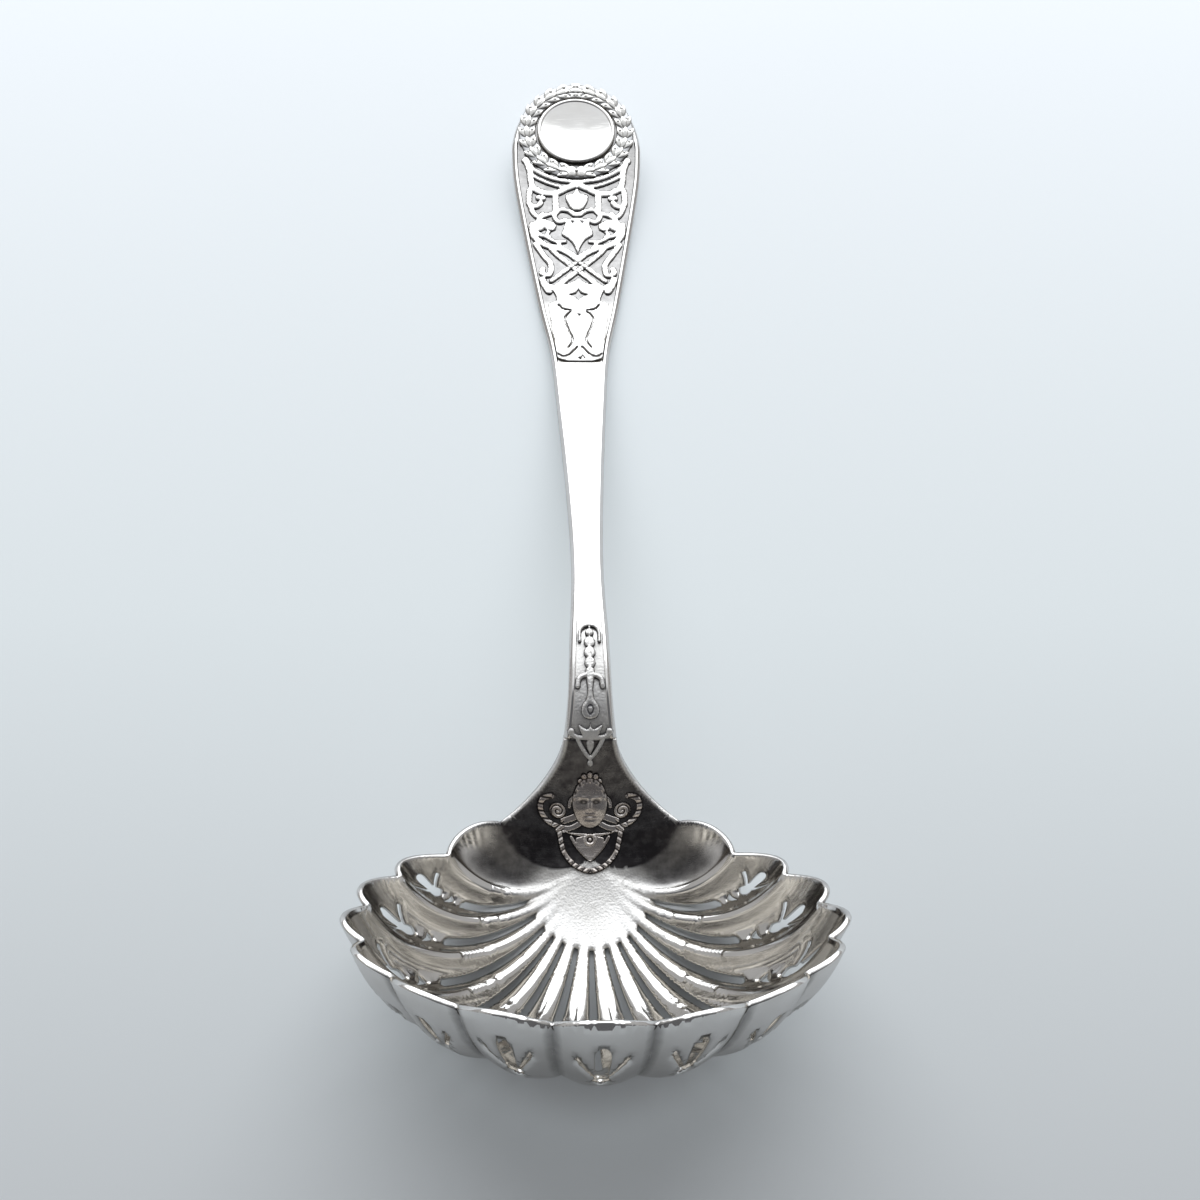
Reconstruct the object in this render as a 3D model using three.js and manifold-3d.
// Sifter spoon in struck and pierced silver: a shell bowl of thirteen flutes with a flared neck,
// an arched handle with a round terminal, and the ornament mounted on both.
// It lies as on a table, bowl towards -Y and handle towards +Y, +Z up. Lengths are in millimetres.
import * as THREE from 'three';
import { TessellateModifier } from 'three/addons/modifiers/TessellateModifier.js';
import { mergeVertices } from 'three/addons/utils/BufferGeometryUtils.js';
import Module from 'manifold-3d';

const wasm = await Module();
wasm.setup();

// Bowl. The notch line is the oval through the notches between the lobes of the rim.
const bowlHalfWidth = 25.6;
const bowlHalfLength = 23.6;
const bowlDepth = 15;
const bowlTiltDegrees = 39;
const wall = 0.7;
const fluteCount = 13;
const fluteTurnDegrees = 22.9;
const fluteTightenDegrees = 10.3;
const frontDepth = 0.95;
const sideDepth = 1.3;
const frontLobeReach = 0.8;
const sideLobeReach = 1.2;
const sideBelly = 1.2;
const gutterBelly = 0.4;
const fluteBow = 1.2;
const heelDepth = 0.45;
const shoulderOut = 1.1;
const fanRootOffset = 1.6;
const plainRadius = 8;
const fluteStart = 5;
const fluteFull = 0.6;
const shoulderDegrees = 155;
const bowlTrim = 0.42;

// Piercing of one flute, as shares of the flute's half width across and of its length along.
const slotInnerHalf = 0.3;
const slotOuterHalf = 0.2;
const slotEnd = 0.52;
const slotRound = 0.015;
const crescentHalf = 0.24;
const crescentAt = 0.6;
const crescentLength = 0.035;
const tridentFoot = 0.7;
const tridentWaist = 0.775;
const tridentTop = 0.89;
const prongHalf = 0.17;
const slitReach = 0.58;
const slitWidth = 0.07;
const frontRaise = 0.055;

// Neck and handle, measured along the middle line from the heel of the bowl.
const seamOut = 8.8;
const seamRise = 7.9;
const seamSlopeDegrees = 50;
const seamWidth = 6.4;
const seamThickness = 1.7;
const seamGap = 0.1;
const neckFlare = 1.6;
const archOut = 9.9;
const archRise = 4;
const stemRun = 72;
const stemWidth = 4.1;
const stemThickness = 2.3;
const stemNarrowAt = 37;
const endRun = 42;
const endRise = 5.3;
const endSlopeDegrees = 14;
const terminalHalfWidth = 10.1;
const terminalThickness = 1.7;
const edgeBevel = 0.45;
const railWidth = 0.75;
const groundDepth = 0.4;
const groundDraft = 0.12;
const panelLength = 57;
const panelFoot = 2.5;
const lowerPanelEnd = 28.4;
const panelRamp = 1.2;
const railEndOffset = 1;
const restFlat = 0.12;

// Ornament
const mountGap = 0.08;
const medallionRadius = 6.1;
const medallionHeight = 0.65;
const medallionBorder = 0.5;
const medallionCrest = 0.12;
const medallionSag = 0.3;
const terminalCentre = 9.3;
const wreathBorder = 1.1;
const wreathInner = 6.5;
const wreathLeaves = 22;
const wreathHeight = 0.35;
const strapWidth = 0.75;
const strapHeight = 0.12;
const strapMargin = 0.12;
const reliefStep = 4;
const huskHeight = 0.3;
const seamBarHeight = 0.5;
const maskHalfWidth = 6.3;
const maskCentre = 1.6;
const maskHeight = 0.6;

// The block under the table that trims the rests flat.
const tableWidth = 40;
const tableDepth = 4;

const rad = THREE.MathUtils.degToRad;
const lerp = THREE.MathUtils.lerp;
const smoothstep = THREE.MathUtils.smoothstep;
const vec2 = (x, y) => new THREE.Vector2(x, y);

// The dish is a spherical cap, drawn in a little from front to back.
const tilt = rad(bowlTiltDegrees);
const dishRadius = (bowlHalfWidth ** 2 + bowlDepth ** 2) / (2 * bowlDepth);
const dishDraw = bowlHalfWidth / bowlHalfLength;
let rimHeight = 0;
const fanRoot = vec2(0, bowlHalfLength - fanRootOffset);
const lastNotch = fluteCount / 2;
const heelLobe = lastNotch + 1;
const neckMiddle = heelLobe + 1;

// Scales the belly of the wall so that it is whole where it is deepest, two thirds of the way out.
const bellyPeak = 6.75;

// A place in the bowl's own frame, x across, p towards the heel and n out of the mouth, set down
// on the table with the rim tilted back.
function place(x, p, n) {
  const y = p * Math.cos(tilt) + n * Math.sin(tilt);
  const z = -p * Math.sin(tilt) + n * Math.cos(tilt) + rimHeight;
  return new THREE.Vector3(x, y, z);
}

// A point at the height lift over the dish, above plan position x, p.
function dishPoint(x, p, lift) {
  const drop = Math.sqrt(dishRadius ** 2 - x ** 2 - (p * dishDraw) ** 2);
  const up = new THREE.Vector3(-x / drop, -p * dishDraw ** 2 / drop, 1).normalize();
  const n = dishRadius - bowlDepth - drop;
  return place(x + up.x * lift, p + up.y * lift, n + up.z * lift);
}

// Where the notch line lies. turn counts flutes round from the middle of the front one.
function notchLine(turn) {
  const size = Math.abs(turn);
  const last = lastNotch * fluteTurnDegrees - fluteTightenDegrees;
  let degrees = size * fluteTurnDegrees - fluteTightenDegrees * (size / lastNotch) ** 3;
  if (size > lastNotch) {
    degrees = lerp(last, shoulderDegrees, Math.min(size - lastNotch, 1));
  }
  if (size > heelLobe) {
    degrees = lerp(shoulderDegrees, 180, size - heelLobe);
  }
  const angle = rad(degrees) * Math.sign(turn);
  return vec2(bowlHalfWidth * Math.sin(angle), -bowlHalfLength * Math.cos(angle));
}

// Plan position on the fan, and how deep it lies under the dish. reach runs from the root of the
// fan, 0, to the rim, 1. At the sides the flutes bow towards the front and the wall bellies out.
function fluteShape(turn, reach) {
  const size = Math.abs(turn);
  const path = notchLine(turn).sub(fanRoot);
  const length = path.length();
  const across = size <= lastNotch ? 2 * (turn - Math.round(turn)) : 2 * (size - lastNotch) - 1;
  const swell = size < heelLobe ? 1 - across ** 2 : 0;
  const side = smoothstep(size, 1, 4) * (1 - smoothstep(size, lastNotch, neckMiddle));
  const lobeReach = lerp(frontLobeReach, sideLobeReach, Math.min(size / lastNotch, 1));
  const spread = reach + (lobeReach / length) * swell * reach ** 3;
  const bow = fluteBow * side * Math.sign(turn) * 4 * reach * (1 - reach) / length;
  const heelRise = size > heelLobe ? (neckMiddle - size) ** 2 : smoothstep(size, lastNotch, heelLobe);
  const plan = path.clone().multiplyScalar(spread).add(fanRoot);
  plan.x += path.y * bow;
  plan.y += shoulderOut * heelRise * reach ** 3 - path.x * bow;
  const grown = smoothstep(reach * length, fluteStart, Math.max(fluteFull * length, 2 * fluteStart));
  const depth = size <= lastNotch ? lerp(frontDepth, sideDepth, side) : heelDepth;
  const outward = bellyPeak * reach ** 2 * (1 - reach);
  const belly = sideBelly * side * outward;
  return { plan, drop: depth * swell * grown + belly + gutterBelly * side * swell * outward };
}

// A point at the height lift over the bowl's middle surface.
function shellPoint(turn, reach, lift = 0) {
  const { plan, drop } = fluteShape(turn, reach);
  return dishPoint(plan.x, plan.y, lift - drop);
}

// Stands the bowl on its lowest place, less what the table trims, and gives that place.
function standBowl() {
  const lowest = shellPoint(0, 0, -wall / 2);
  for (let turn = 0; turn <= lastNotch; turn += 0.25) {
    for (let reach = 0; reach < 1; reach += 0.02) {
      const spot = shellPoint(turn, reach, -wall / 2);
      if (spot.z < lowest.z) {
        lowest.copy(spot);
      }
    }
  }
  rimHeight = -lowest.z - bowlTrim;
  return lowest;
}

const bowlRest = standBowl();

// The middle line from the heel up the neck, over the arch and down to the table, then up to the tip.
function bend(start, startSlope, end, endSlope) {
  const handle = 0.36 * start.distanceTo(end);
  const from = start.clone().add(vec2(Math.cos(startSlope), Math.sin(startSlope)).multiplyScalar(handle));
  const to = end.clone().sub(vec2(Math.cos(endSlope), Math.sin(endSlope)).multiplyScalar(handle));
  return new THREE.CubicBezierCurve(start, from, to, end);
}

const heelPlace = place(0, bowlHalfLength, 0);
const wallAtHeel = Math.atan2(bowlHalfWidth * dishDraw, dishRadius - bowlDepth);
const heelSlope = wallAtHeel - tilt;
const heel = vec2(heelPlace.y, heelPlace.z);
const seam = heel.clone().add(vec2(seamOut, seamRise));
const archTop = seam.clone().add(vec2(archOut, archRise));
const touch = vec2(archTop.x + stemRun, terminalThickness - wall / 2 - restFlat);
const tip = touch.clone().add(vec2(endRun, endRise));
const neckLine = bend(heel, heelSlope, seam, rad(seamSlopeDegrees));
const spine = new THREE.CurvePath();
spine.add(neckLine);
spine.add(bend(seam, rad(seamSlopeDegrees), archTop, 0));
spine.add(bend(archTop, 0, touch, 0));
spine.add(bend(touch, 0, tip, rad(endSlopeDegrees)));
const neckLength = neckLine.getLength();
const tipArc = spine.getLength();
const terminalArc = tipArc - terminalCentre;
const wreathOuter = terminalHalfWidth - wreathBorder;

function spineAt(arc) {
  const share = THREE.MathUtils.clamp(arc / tipArc, 0, 1);
  const point = spine.getPoint(share);
  const tangent = spine.getTangent(share);
  return { point, normal: vec2(-tangent.y, tangent.x) };
}

function neckHalfWidth(arc) {
  const rest = Math.max(1 - arc / neckLength, 0);
  const shoulder = bowlHalfWidth * Math.sin(rad(shoulderDegrees));
  return lerp(seamWidth / 2, shoulder, rest ** neckFlare);
}

// A point on the neck's middle surface: across runs from -1 to 1 between its edges.
function neckPoint(across, arc, lift = 0) {
  const { point, normal } = spineAt(arc);
  const edge = shellPoint(heelLobe, 1);
  const fade = Math.max(1 - arc / neckLength, 0) ** 2 * across ** 2;
  const y = point.x + (edge.y - heel.x) * fade + normal.x * lift;
  const z = point.y + (edge.z - heel.y) * fade + normal.y * lift;
  return new THREE.Vector3(across * neckHalfWidth(arc), y, z);
}

// A point at the height lift over the upper face, anywhere from the dish, where arc is below zero,
// to the tip of the handle.
function facePoint(x, arc, lift) {
  const height = lift + wall / 2;
  if (arc < 0) {
    const angle = Math.asin(bowlHalfWidth / dishRadius) + arc / dishRadius;
    return dishPoint(x, dishRadius * Math.sin(angle) / dishDraw, height);
  }
  if (arc < neckLength) {
    return neckPoint(x / neckHalfWidth(arc), arc, height);
  }
  const { point, normal } = spineAt(arc);
  return new THREE.Vector3(x, point.x + normal.x * height, point.y + normal.y * height);
}

// Solids
function indexed(positions, faces) {
  const geometry = new THREE.BufferGeometry();
  geometry.setAttribute('position', new THREE.Float32BufferAttribute(positions, 3));
  geometry.setIndex(faces);
  return geometry;
}

function solid(geometry) {
  const bare = geometry.clone();
  bare.deleteAttribute('normal');
  bare.deleteAttribute('uv');
  const merged = mergeVertices(bare, 2e-3);
  const vertProperties = new Float32Array(merged.attributes.position.array);
  const triVerts = new Uint32Array(merged.index.array);
  return new wasm.Manifold(new wasm.Mesh({ numProp: 3, vertProperties, triVerts }));
}

function geometryOf(body) {
  const { vertProperties, triVerts } = body.getMesh();
  return indexed(Array.from(vertProperties), Array.from(triVerts));
}

// Moves every vertex of a geometry by a function of its own x, y and z.
function mapped(geometry, move) {
  const spots = geometry.attributes.position;
  for (let i = 0; i < spots.count; i += 1) {
    const moved = move(spots.getX(i), spots.getY(i), spots.getZ(i));
    spots.setXYZ(i, moved.x, moved.y, moved.z);
  }
  return geometry;
}

// A flat outline as a plate from low to high, before it is mapped on to the face. The odd number of
// steps to a curve keeps its points off the middle line.
function plate(outline, low, high) {
  const settings = { depth: high - low, bevelEnabled: false, curveSegments: 5 };
  return new THREE.ExtrudeGeometry(outline, settings).translate(0, 0, low);
}

function join(bodies) {
  return bodies.reduce((whole, body) => whole.add(body));
}

// Drops the slivers that cutting and joining leave loose.
function largest(body) {
  return body.decompose().reduce((most, piece) => (piece.volume() > most.volume() ? piece : most));
}

// Gives an open sheet its thickness, up over and down under its middle surface.
function thicken(sheet, up, downAt) {
  const merged = mergeVertices(sheet, 1e-4);
  merged.computeVertexNormals();
  const spots = merged.attributes.position;
  const normals = merged.attributes.normal;
  const index = merged.index.array;
  const count = spots.count;
  const upper = [];
  const lower = [];
  for (let i = 0; i < count; i += 1) {
    const spot = new THREE.Vector3().fromBufferAttribute(spots, i);
    const normal = new THREE.Vector3().fromBufferAttribute(normals, i);
    upper.push(...spot.clone().addScaledVector(normal, up).toArray());
    lower.push(...spot.clone().addScaledVector(normal, -downAt(spot)).toArray());
  }
  const faces = [];
  const open = new Map();
  for (let i = 0; i < index.length; i += 3) {
    const corners = [index[i], index[i + 1], index[i + 2]];
    faces.push(...corners, corners[2] + count, corners[1] + count, corners[0] + count);
    corners.forEach((a, k) => {
      const b = corners[(k + 1) % 3];
      if (!open.delete(`${b},${a}`)) {
        open.set(`${a},${b}`, [a, b]);
      }
    });
  }
  for (const [a, b] of open.values()) {
    faces.push(a, a + count, b, b, a + count, b + count);
  }
  return indexed([...upper, ...lower], faces);
}

// The part of a solid that the table leaves, so that it rests on a small flat.
function restOnTable(body, y) {
  const slab = new THREE.BoxGeometry(tableWidth, tableWidth, tableDepth).translate(0, y, -tableDepth / 2);
  return body.subtract(solid(slab));
}

// Bowl
function bowlSheet() {
  const turns = [];
  const perFlute = 4;
  for (let i = 0; i <= fluteCount * perFlute; i += 1) {
    turns.push(i / perFlute - lastNotch);
  }
  const rearTurns = [0.33, 0.67, 1, 1.25, 1.5, 1.75].map((step) => lastNotch + step);
  turns.push(...rearTurns, neckMiddle);
  turns.unshift(-neckMiddle, ...rearTurns.map((turn) => -turn).reverse());
  const rows = 12;
  const neckRows = 7;
  const positions = [];
  const faces = [];
  const spotOf = new Map();
  const add = (column, row, point) => {
    spotOf.set(`${column},${row}`, positions.length / 3);
    positions.push(...point.toArray());
  };
  turns.forEach((turn, column) => {
    for (let row = 0; row <= rows; row += 1) {
      add(column, row, shellPoint(turn, row / rows));
    }
    if (Math.abs(turn) >= heelLobe) {
      const across = Math.sign(turn) * (neckMiddle - Math.abs(turn));
      for (let row = 1; row <= neckRows; row += 1) {
        const arc = (neckLength - seamGap) * row / neckRows;
        add(column, rows + row, neckPoint(across, arc));
      }
    }
  });
  for (let column = 0; column < turns.length - 1; column += 1) {
    for (let row = 0; row < rows + neckRows; row += 1) {
      const a = spotOf.get(`${column},${row}`);
      const b = spotOf.get(`${column + 1},${row}`);
      const c = spotOf.get(`${column + 1},${row + 1}`);
      const d = spotOf.get(`${column},${row + 1}`);
      if (c !== undefined && d !== undefined) {
        faces.push(a, d, c);
        if (row > 0) {
          faces.push(a, c, b);
        }
      }
    }
  }
  return indexed(positions, faces);
}

// Carries a piercing outline on to one flute, right through the wall. raise moves it up the flute.
function pierce(outline, flute, raise = 0) {
  const length = notchLine(flute).distanceTo(fanRoot);
  const cutter = plate(outline, -1.2 * wall, 1.2 * wall);
  return solid(mapped(cutter, (x, y, z) => {
    const along = lerp(plainRadius, length, y + raise);
    return shellPoint(flute - x / 2, along / length, z);
  }));
}

function slotOutline(end) {
  const shape = new THREE.Shape();
  const steps = 5;
  const half = (step) => lerp(slotInnerHalf, slotOuterHalf, step / steps);
  for (let step = 0; step <= steps; step += 1) {
    shape.lineTo(half(step), end * step / steps);
  }
  shape.lineTo(slotOuterHalf / 2, end + slotRound);
  shape.lineTo(-slotOuterHalf / 2, end + slotRound);
  for (let step = steps; step >= 0; step -= 1) {
    shape.lineTo(-half(step), end * step / steps);
  }
  return shape;
}

function crescentOutline() {
  const horn = crescentAt + crescentLength;
  const shape = new THREE.Shape();
  shape.moveTo(-crescentHalf, horn);
  shape.quadraticCurveTo(0, crescentAt - crescentLength, crescentHalf, horn);
  shape.quadraticCurveTo(0, crescentAt + crescentLength * 0.4, -crescentHalf, horn);
  return shape;
}

// A middle prong with a round top, and a slit either side that spreads towards the rim.
function tridentOutline() {
  const slitTop = tridentTop - 0.02;
  const corner = 0.012;
  const under = [vec2(prongHalf, tridentWaist - corner), vec2(slitReach, slitTop - corner)];
  const over = [vec2(slitReach - slitWidth, slitTop), vec2(prongHalf * 0.85, tridentWaist + corner)];
  const split = ([from, to]) => [0, 1, 2, 3].map((step) => from.clone().lerp(to, step / 3));
  const side = [
    vec2(prongHalf * 1.25, lerp(tridentFoot, tridentWaist, 0.4)),
    ...split(under),
    ...split(over),
    vec2(prongHalf, tridentTop - 2 * corner),
    vec2(prongHalf * 0.6, tridentTop),
  ];
  const foot = vec2(prongHalf / 2, tridentFoot);
  const right = [foot, ...side];
  const left = right.map((spot) => vec2(-spot.x, spot.y)).reverse();
  return new THREE.Shape([...right, ...left]);
}

function makeBowl() {
  const sheet = bowlSheet();
  const heelLine = place(0, bowlHalfLength, 0);
  const shell = thicken(sheet, wall / 2, (spot) => {
    const climb = THREE.MathUtils.clamp((spot.y - heelLine.y) / seamOut, 0, 1);
    const onNeck = Math.abs(spot.x) < bowlHalfWidth * Math.sin(rad(shoulderDegrees));
    return lerp(wall, seamThickness, onNeck ? climb : 0) - wall / 2;
  });
  const holes = [];
  for (let flute = -(fluteCount - 1) / 2; flute < lastNotch; flute += 1) {
    holes.push(pierce(slotOutline(slotEnd), flute));
    holes.push(pierce(crescentOutline(), flute));
    const raise = frontRaise * (1 - smoothstep(Math.abs(flute), 1, 4));
    holes.push(pierce(tridentOutline(), flute, raise));
  }
  const pierced = holes.reduce((body, hole) => body.subtract(hole), solid(shell));
  return restOnTable(largest(pierced), bowlRest.y);
}

// Handle
// Half widths along the middle line: seam, stem, panel, then a round end.
function handleStations() {
  const panelStart = tipArc - panelLength;
  const widest = terminalArc - 3.5;
  const side = new THREE.SplineCurve([
    vec2(neckLength, seamWidth / 2),
    vec2(neckLength + 5, seamWidth * 0.425),
    vec2(lerp(neckLength, stemNarrowAt, 0.5), lerp(seamWidth, stemWidth, 0.66) / 2),
    vec2(stemNarrowAt, stemWidth / 2),
    vec2(lerp(stemNarrowAt, panelStart, 0.36), stemWidth * 0.62),
    vec2(lerp(stemNarrowAt, panelStart, 0.8), stemWidth * 0.86),
    vec2(lerp(panelStart, widest, 0.07), terminalHalfWidth * 0.43),
    vec2(lerp(panelStart, widest, 0.3), terminalHalfWidth * 0.595),
    vec2(lerp(panelStart, widest, 0.6), terminalHalfWidth * 0.8),
    vec2(lerp(panelStart, widest, 0.86), terminalHalfWidth * 0.965),
    vec2(widest, terminalHalfWidth),
  ]).getSpacedPoints(40);
  const end = new THREE.EllipseCurve(widest, 0, tipArc - widest, terminalHalfWidth, 0, Math.PI / 2);
  const rounded = end.getPoints(9).reverse().slice(1);
  rounded[rounded.length - 1] = vec2(tipArc, terminalHalfWidth * 0.08);
  return [...side, ...rounded];
}

const stations = handleStations();

function halfWidthAt(arc) {
  const next = Math.max(stations.findIndex((station) => station.x >= arc), 1);
  const [before, after] = [stations[next - 1], stations[next]];
  return lerp(before.y, after.y, (arc - before.x) / (after.x - before.x));
}

function railWidthAt(half) {
  return Math.max(Math.min(railWidth, half * 0.45), Math.min(edgeBevel, half / 3) * 1.1);
}

// Half the width of the sunk ground between the rails.
function groundHalfAt(arc) {
  const half = halfWidthAt(arc);
  return half - railWidthAt(half) - groundDraft;
}

// The cross section: a flat with bevelled edges, whose middle sinks between two rails to the ground.
function handleSection(arc, half) {
  const panelStart = tipArc - panelLength;
  const upperSink = smoothstep(arc, panelStart, panelStart + panelRamp);
  const lowerSink = 1 - smoothstep(arc, lowerPanelEnd - panelRamp, lowerPanelEnd);
  const depth = groundDepth * Math.max(upperSink, lowerSink * 0.5);
  const bulk = lerp(seamThickness, stemThickness, smoothstep(arc, neckLength, stemNarrowAt));
  const thickness = lerp(bulk, terminalThickness, smoothstep(arc, stemNarrowAt, panelStart));
  const bevel = Math.min(edgeBevel, half / 3);
  const rail = railWidthAt(half);
  const railEnd = terminalArc - railEndOffset;
  const railTop = -groundDepth * smoothstep(arc, railEnd - 1, railEnd);
  const right = [
    vec2(half * 0.72, -thickness),
    vec2(half, -thickness * 0.62),
    vec2(half, railTop - bevel),
    vec2(half - bevel, railTop),
    vec2(half - rail, railTop),
    vec2(half - rail - groundDraft * Math.min(half, 1), -depth),
  ];
  const left = right.map((spot) => vec2(-spot.x, spot.y)).reverse();
  return [...right, ...left];
}

function makeHandle() {
  const positions = [];
  const faces = [];
  let around = 0;
  stations.forEach((station) => {
    const section = handleSection(station.x, station.y);
    around = section.length;
    section.forEach((spot) => {
      positions.push(...facePoint(spot.x, station.x, spot.y).toArray());
    });
  });
  for (let i = 0; i < stations.length - 1; i += 1) {
    for (let k = 0; k < around; k += 1) {
      const a = i * around + k;
      const b = i * around + (k + 1) % around;
      faces.push(a, a + around, b, b, a + around, b + around);
    }
  }
  const flat = THREE.ShapeUtils.triangulateShape(handleSection(stations[0].x, stations[0].y), []);
  const last = (stations.length - 1) * around;
  flat.forEach(([a, b, c]) => {
    faces.push(a, b, c, last + c, last + b, last + a);
  });
  return restOnTable(solid(indexed(positions, faces)), touch.x);
}

// Ornament on the face. An outline is drawn across and along, in millimetres.
function onFace(outline, arc, low, high) {
  return solid(mapped(plate(outline, low, high), (x, y, z) => facePoint(x, arc + y, z)));
}

// A disc with a narrow rounded border and a slightly hollow middle.
function makeMedallion() {
  const foot = medallionHeight - 2 * medallionCrest;
  const profile = [vec2(0, 0), vec2(medallionRadius, 0), vec2(medallionRadius, foot)];
  const borderSteps = 4;
  for (let step = 1; step < borderSteps; step += 1) {
    const angle = Math.PI * step / borderSteps;
    const out = medallionRadius - medallionBorder / 2 * (1 - Math.cos(angle));
    profile.push(vec2(out, foot + medallionCrest * Math.sin(angle) + medallionCrest * step / borderSteps));
  }
  const hollowSteps = 5;
  const inner = medallionRadius - medallionBorder;
  const level = medallionHeight - medallionCrest;
  for (let step = 0; step <= hollowSteps; step += 1) {
    const share = 1 - step / hollowSteps;
    profile.push(vec2(inner * share, level - medallionSag * (1 - share ** 2)));
  }
  const disc = new THREE.LatheGeometry(profile, 40).rotateX(Math.PI / 2);
  const floor = mountGap - groundDepth;
  return solid(mapped(disc, (x, y, z) => facePoint(x, terminalArc + y, z + floor)));
}

function makeWreath() {
  const outside = [];
  const inside = [];
  const steps = wreathLeaves * 4;
  for (let step = 0; step < steps; step += 1) {
    const angle = 2 * Math.PI * step / steps;
    const leaf = Math.abs(Math.sin(angle * wreathLeaves / 2));
    const outer = lerp(wreathOuter * 0.93, wreathOuter, leaf);
    const inner = lerp(wreathInner * 1.06, wreathInner, leaf);
    outside.push(vec2(outer * Math.cos(angle), outer * Math.sin(angle)));
    inside.push(vec2(inner * Math.cos(angle), inner * Math.sin(angle)));
  }
  const ring = new THREE.Shape(outside);
  ring.holes.push(new THREE.Path(inside));
  return onFace(ring, terminalArc, mountGap - groundDepth, wreathHeight);
}

// A band of one width along a smooth line, and the same band on the other side of the middle line.
function ribbon(points, width) {
  const steps = 2 * (points.length - 1);
  const line = new THREE.SplineCurve(points);
  const left = [];
  const right = [];
  for (let step = 0; step <= steps; step += 1) {
    const spot = line.getPointAt(step / steps);
    const along = line.getTangentAt(step / steps);
    const aside = vec2(-along.y, along.x).multiplyScalar(width / 2);
    left.push(spot.clone().add(aside));
    right.unshift(spot.clone().sub(aside));
  }
  return new THREE.Shape([...right, ...left]);
}

const mirrored = (points) => points.map((spot) => vec2(-spot.x, spot.y));

// A leaf or petal shape, from its right half, drawn from top to bottom.
function symmetric(points) {
  return new THREE.Shape([...points, ...mirrored(points).reverse()]);
}

function disc(x, y, radius) {
  const round = new THREE.EllipseCurve(x, y, radius, radius, 0.2, 0.2 + 2 * Math.PI);
  return new THREE.Shape(round.getPoints(8).slice(1));
}

// Bands and solid shapes joined into one flat relief and bent on to the face, in steps short enough
// to follow it. Bands are drawn once and mirrored.
function relief(arc, low, high, bands, shapes) {
  const outlines = [...shapes];
  for (const [points, width] of bands) {
    outlines.push(ribbon(points, width), ribbon(mirrored(points), width));
  }
  const flat = geometryOf(join(outlines.map((outline) => solid(plate(outline, low, high)))));
  const split = new TessellateModifier(reliefStep, 8).modify(flat.toNonIndexed());
  return largest(solid(mapped(split, (x, y, z) => facePoint(x, arc + y, z))));
}

// Strapwork on the sunk panel. In spot(), x is a share of the ground's half width at that place, and
// the second number a share of the panel's length below the terminal.
function makeStrapwork() {
  const run = panelLength - terminalCentre - panelFoot;
  const spot = (x, down) => vec2(
    x * (groundHalfAt(terminalArc - down * run) - strapMargin),
    -down * run,
  );
  const line = (...pairs) => pairs.map(([x, down]) => spot(x, down));
  const ringRadius = wreathOuter + strapMargin + strapWidth / 2;
  const ring = new THREE.EllipseCurve(0, 0, ringRadius, ringRadius, -rad(92), -rad(32)).getPoints(4);
  const bracket = line([0.9, 0.12], [0.87, 0.17], [0.86, 0.21], [0.9, 0.24]);
  const arms = line([0.9, 0.24], [0.44, 0.25], [-0.02, 0.232]);
  const bar = line([0.44, 0.25], [0.46, 0.35]);
  const upperCurl = line([0.93, 0.245], [0.95, 0.28], [0.93, 0.318], [0.8, 0.328], [0.74, 0.308]);
  const lowerCurl = line([0.93, 0.318], [0.94, 0.35], [0.86, 0.378], [0.77, 0.362]);
  const scroll = line([0.02, 0.362], [0.3, 0.345], [0.48, 0.366], [0.4, 0.392], [0.27, 0.382]);
  const sweep = line([0.46, 0.35], [0.77, 0.39], [0.93, 0.44], [0.93, 0.49], [0.9, 0.51]);
  const yoke = line([0.93, 0.5], [0.58, 0.52], [0.25, 0.545], [-0.06, 0.59]);
  const volute = line([0.9, 0.505], [0.73, 0.56], [0.72, 0.605], [0.84, 0.63], [0.93, 0.61]);
  const strands = [-0.016, 0.016].map((side) => line([-0.68, 0.52 + side], [0.88, 0.697 + side]));
  const lowerBracket = line([0.9, 0.69], [0.78, 0.71], [0.7, 0.75], [0.25, 0.775], [-0.05, 0.772]);
  const foot = line([0.86, 0.995], [0.7, 1.015], [-0.04, 0.985]);
  const tulip = symmetric(line([0.01, 0.24], [0.08, 0.283], [0.22, 0.275], [0.21, 0.305], [0.12, 0.352]));
  const bell = symmetric(line(
    [0.1, 0.375], [0.24, 0.388], [0.29, 0.43], [0.42, 0.458], [0.24, 0.478], [0.15, 0.487], [0.05, 0.54],
  ));
  const plateau = symmetric(line([0.3, 0.665], [0.76, 0.7], [0.66, 0.75], [0.2, 0.78]));
  plateau.holes.push(new THREE.Path(line(
    [0, 0.69], [-0.09, 0.708], [-0.33, 0.715], [-0.09, 0.722],
    [0, 0.738], [0.09, 0.722], [0.33, 0.715], [0.09, 0.708],
  )));
  const vase = symmetric(line(
    [0.12, 0.772], [0.42, 0.8], [0.52, 0.828], [0.46, 0.88], [0.33, 0.93], [0.36, 0.955], [0.3, 0.995],
  ));
  const bead = disc(0, -0.363 * run, strapWidth * 0.8);
  return relief(
    terminalArc, mountGap - groundDepth, strapHeight,
    [
      [ring, strapWidth], [bracket, strapWidth], [arms, strapWidth * 1.1], [bar, strapWidth * 0.9],
      [upperCurl, strapWidth * 0.8], [lowerCurl, strapWidth * 0.8], [scroll, strapWidth * 0.8],
      [sweep, strapWidth], [yoke, strapWidth], [volute, strapWidth * 0.8],
      [strands[0], strapWidth * 0.75], [strands[1], strapWidth * 0.75],
      [lowerBracket, strapWidth * 0.8], [foot, strapWidth * 0.8],
    ],
    [tulip, bell, plateau, vase, bead],
  );
}

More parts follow.
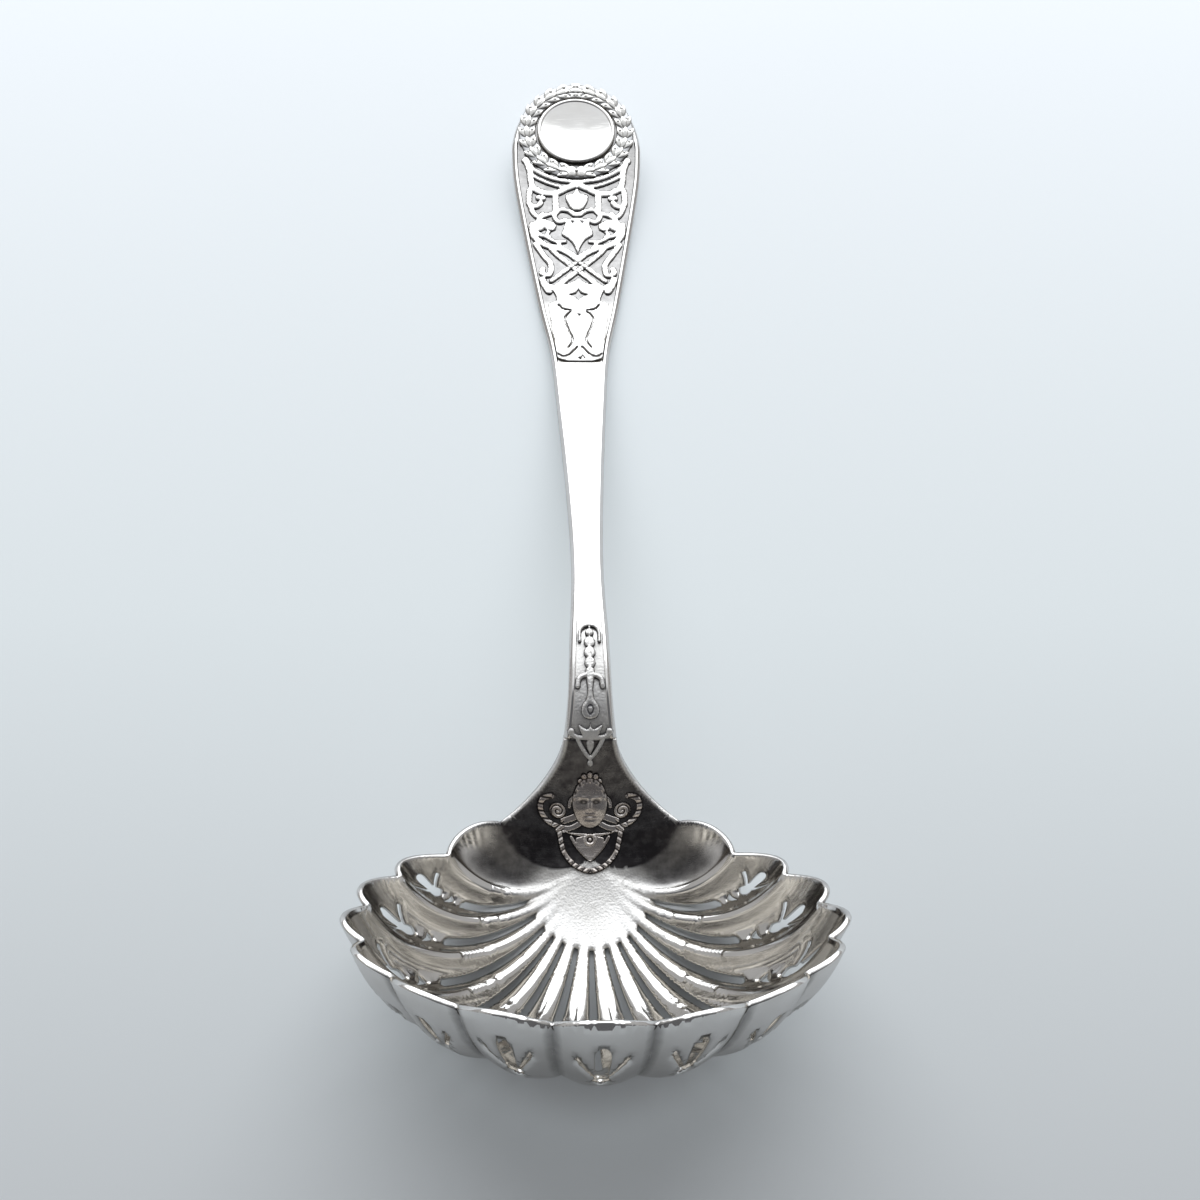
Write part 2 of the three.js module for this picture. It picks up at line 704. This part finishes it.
// A drop of husks on the lower stem: an arch, a string of beads, two leaves and a baluster.
function makeHuskDrop() {
  const run = lowerPanelEnd - panelRamp - neckLength;
  const spot = (x, up) => vec2(x * (groundHalfAt(neckLength + up * run) - strapMargin), up * run);
  const line = (...pairs) => pairs.map(([x, up]) => spot(x, up));
  const arch = line([0.78, 0.83], [0.74, 0.9], [-0.05, 0.935]);
  const leaf = line([0.76, 0.44], [0.55, 0.485], [-0.05, 0.5]);
  const baluster = symmetric(line([0.16, 0.175], [0.44, 0.19], [0.5, 0.24], [0.16, 0.35], [0.2, 0.51]));
  const stalk = symmetric([0.48, 0.57, 0.66, 0.75, 0.84, 0.93].map((up) => spot(0.14, up)));
  const beads = [0.56, 0.65, 0.74, 0.83].map((up) => disc(0, up * run, strapWidth * 0.62));
  const thin = strapWidth * 0.6;
  const floor = mountGap - groundDepth / 2;
  return relief(neckLength, floor, huskHeight, [[arch, thin], [leaf, thin]], [baluster, stalk, ...beads]);
}

// The bar across the seam, with a tulip over it and a pendant under it. Lengths here are shares of
// half the seam's width.
function makeSeamBar() {
  const half = seamWidth / 2;
  const line = (...pairs) => pairs.map(([x, up]) => vec2(x * half, up * half));
  const bar = line([0.72, 0.22], [0.4, 0.08], [-0.03, 0.05]);
  const tulip = symmetric(line([0.08, 0.02], [0.34, 0.36], [0.16, 0.3], [0.05, 0.5]));
  const pendant = symmetric(line([0.03, -0.85], [0.18, -0.62], [0.34, -0.3], [0.5, 0.08]));
  const knobs = [-0.72, 0.72].map((x) => disc(x * half, 0.26 * half, 0.17 * half));
  const drop = disc(0, -0.92 * half, 0.1 * half);
  const bands = [[bar, strapWidth * 0.6]];
  return relief(neckLength, mountGap, seamBarHeight, bands, [tulip, pendant, ...knobs, drop]);
}

// The mask in its cartouche on the heel. Lengths here are shares of the cartouche's half width.
function makeMask() {
  const line = (...pairs) => pairs.map(([x, up]) => vec2(x * maskHalfWidth, up * maskHalfWidth));
  const head = symmetric(line(
    [0.12, -0.3], [0.26, -0.12], [0.31, 0.2], [0.35, 0.5], [0.3, 0.8], [0.1, 0.96],
  ));
  const scroll = line([0.28, 0.02], [0.44, -0.06], [0.62, 0], [0.76, 0.2], [0.74, 0.42], [0.58, 0.5]);
  const inner = line([0.58, 0.5], [0.42, 0.4], [0.44, 0.2], [0.6, 0.14]);
  const bar = line([0.52, -0.26], [0.2, -0.27], [-0.03, -0.26]);
  const side = line([0.44, 0.0], [0.5, -0.24], [0.58, -0.48]);
  const fringe = line([0.58, -0.48], [0.42, -0.8], [-0.04, -0.96]);
  const shield = symmetric(line([0.05, -0.76], [0.22, -0.52], [0.34, -0.26]));
  const eyes = strapWidth * 0.7;
  const drop = symmetric(line([0.05, -0.95], [0.05, -0.7]));
  return relief(
    maskCentre, 2 * mountGap, maskHeight,
    [[scroll, eyes], [inner, eyes], [bar, eyes], [side, eyes], [fringe, eyes * 1.4]],
    [head, shield, drop],
  );
}

const group = new THREE.Group();
const silver = { color: 0xd8d6d2, metalness: 1, roughness: 0.18 };
const oxidised = { color: 0x9a9490, metalness: 0.9, roughness: 0.35 };
const satin = { color: 0xdedcd8, metalness: 1, roughness: 0.3 };

function addMesh(name, body, finish) {
  const mesh = new THREE.Mesh(geometryOf(body), new THREE.MeshStandardMaterial(finish));
  mesh.name = name;
  group.add(mesh);
}

addMesh('bowl', makeBowl(), silver);
addMesh('handle', makeHandle(), silver);
addMesh('medallion', makeMedallion(), satin);
addMesh('wreath', makeWreath(), oxidised);
addMesh('strapwork', makeStrapwork(), satin);
addMesh('husk_drop', makeHuskDrop(), satin);
addMesh('seam_bar', makeSeamBar(), satin);
addMesh('mask_mount', makeMask(), oxidised);

// The origin lies on the table under the middle of the whole spoon.
const box = new THREE.Box3().setFromObject(group);
const middle = box.getCenter(new THREE.Vector3());
group.position.set(-middle.x, -middle.y, -box.min.z);

export default group;
